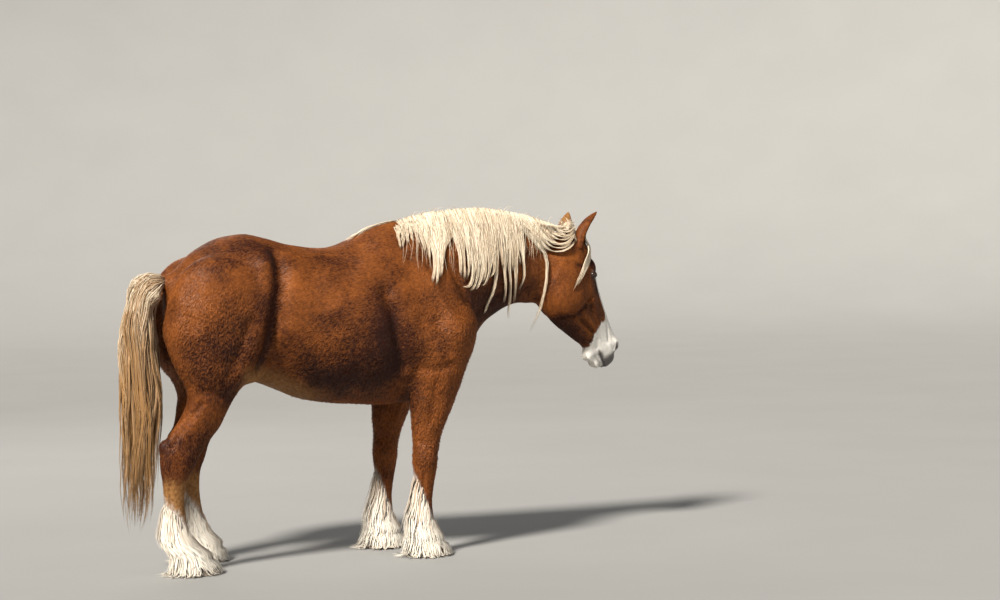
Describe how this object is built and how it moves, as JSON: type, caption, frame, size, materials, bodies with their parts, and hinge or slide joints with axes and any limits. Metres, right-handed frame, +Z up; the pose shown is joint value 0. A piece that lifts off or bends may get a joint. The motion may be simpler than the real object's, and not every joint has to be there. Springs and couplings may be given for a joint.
{
  "type": "belgian draft horse",
  "caption": "Standing draft horse with a lowered, slightly turned head, heavy rounded body, long mane and tail, and feathered feet; one still life-size figure.",
  "frame": {"origin": "on the floor, under the middle of the horse's length and width", "axes": "+X the way the horse faces, +Y to its left, +Z up from the floor"},
  "size_m": [2.7979, 0.7331, 1.7839],
  "materials": {
    "chestnut_coat": "short chestnut coat, slightly glossy",
    "flaxen_hair": "long flaxen hair",
    "cream_feather": "cream hair of the lower legs",
    "hoof_horn": "dull horn",
    "dark_eye": "wet dark eye"
  },
  "bodies": {
    "root": {"head": "chestnut_coat", "neck": "chestnut_coat", "torso": "chestnut_coat", "tail": "flaxen_hair", "ear_left": "chestnut_coat", "ear_right": "chestnut_coat", "eye_left": "dark_eye", "eye_right": "dark_eye", "leg_fore_left": "cream_feather", "leg_fore_right": "cream_feather", "leg_hind_left": "cream_feather", "leg_hind_right": "cream_feather", "hoof_fore_left": "hoof_horn", "hoof_fore_right": "hoof_horn", "hoof_hind_left": "hoof_horn", "hoof_hind_right": "hoof_horn"}
  },
  "joints": []
}
